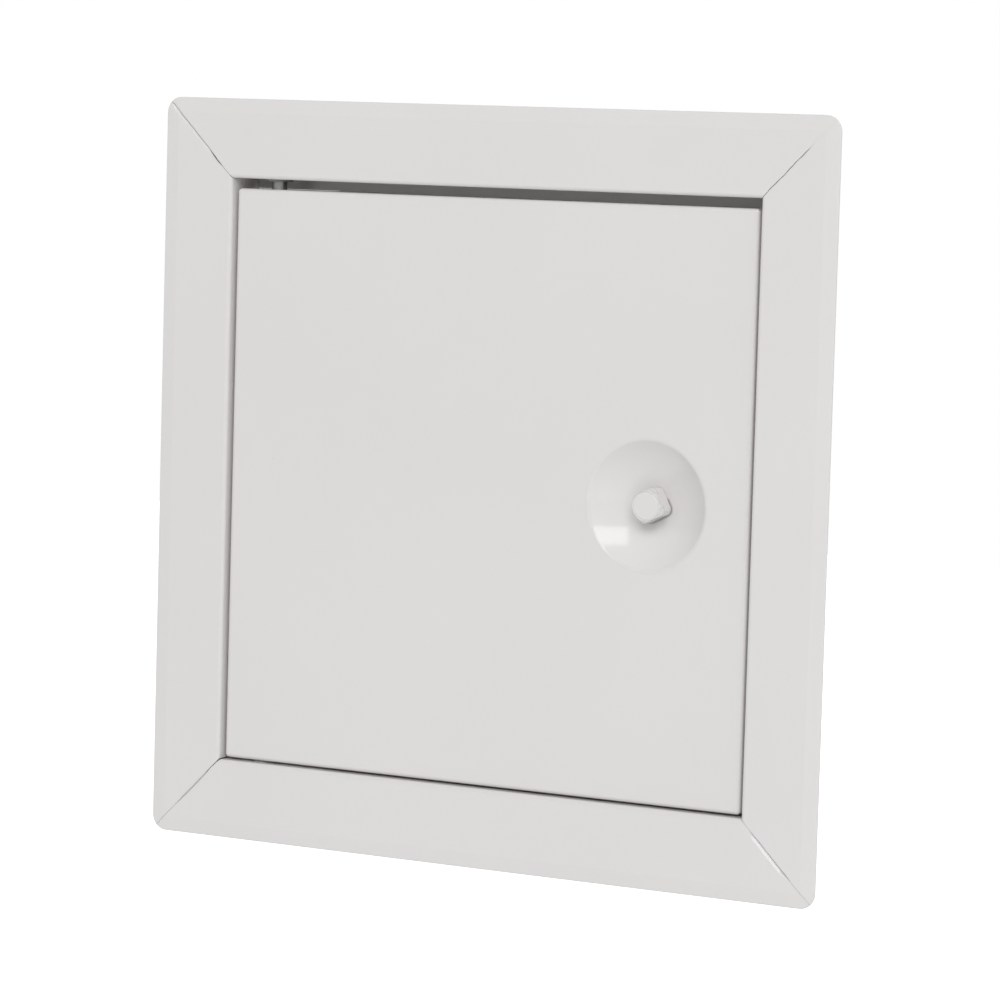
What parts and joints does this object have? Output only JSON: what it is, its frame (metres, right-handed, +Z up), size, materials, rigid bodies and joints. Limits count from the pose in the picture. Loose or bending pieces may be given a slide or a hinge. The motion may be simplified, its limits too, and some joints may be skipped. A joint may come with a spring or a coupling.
{
  "type": "ceiling access panel",
  "caption": "Square flush access panel: a mitred sheet-steel frame, a folded door on inset pivot pins, and a square-key quarter-turn lock in a pressed dish.",
  "frame": {"origin": "centre of the cut-out, on the ceiling or wall surface that the frame's rim rests on", "axes": "+X to the lock side, +Y into the ceiling or wall, +Z up, towards the lift-off gap above the door"},
  "size_m": [0.25, 0.0479, 0.25],
  "materials": {
    "white_paint": "semi-gloss",
    "zinc": "zinc-plated",
    "nylon": "matte",
    "dark_steel": "phosphated"
  },
  "bodies": {
    "frame": {"frame_rail_top": "white_paint", "frame_rail_bottom": "white_paint", "frame_rail_left": "white_paint", "frame_rail_right": "white_paint", "corner_plate_top_left": "white_paint", "corner_plate_top_right": "white_paint", "corner_plate_bottom_left": "white_paint", "corner_plate_bottom_right": "white_paint", "wall_anchor_top_left": "zinc", "wall_anchor_top_right": "zinc", "wall_anchor_bottom_left": "zinc", "wall_anchor_bottom_right": "zinc", "hinge_bush_top": "nylon", "hinge_bush_bottom": "nylon"},
    "door": {"door_panel": "white_paint", "hinge_bracket_top": "white_paint", "hinge_bracket_bottom": "white_paint", "hinge_pin_top": "dark_steel", "hinge_pin_bottom": "dark_steel", "lock_bush": "zinc"},
    "lock": {"lock_spindle": "white_paint", "stop_washer": "zinc", "lock_cam": "zinc", "cam_washer": "zinc", "spring_washer": "dark_steel", "cam_nut": "zinc"}
  },
  "joints": [
    {"name": "door_swing", "type": "hinge", "parent": "frame", "child": "door", "pos_m": [-0.0843, 0.0065, 0], "axis": [0, 0, -1], "range_deg": [0, 125]},
    {"name": "lock_turn", "type": "hinge", "parent": "door", "child": "lock", "pos_m": [0.0603, 0.0005, -0.00133], "axis": [0, -1, 0], "range_deg": [-27, 63]}
  ]
}
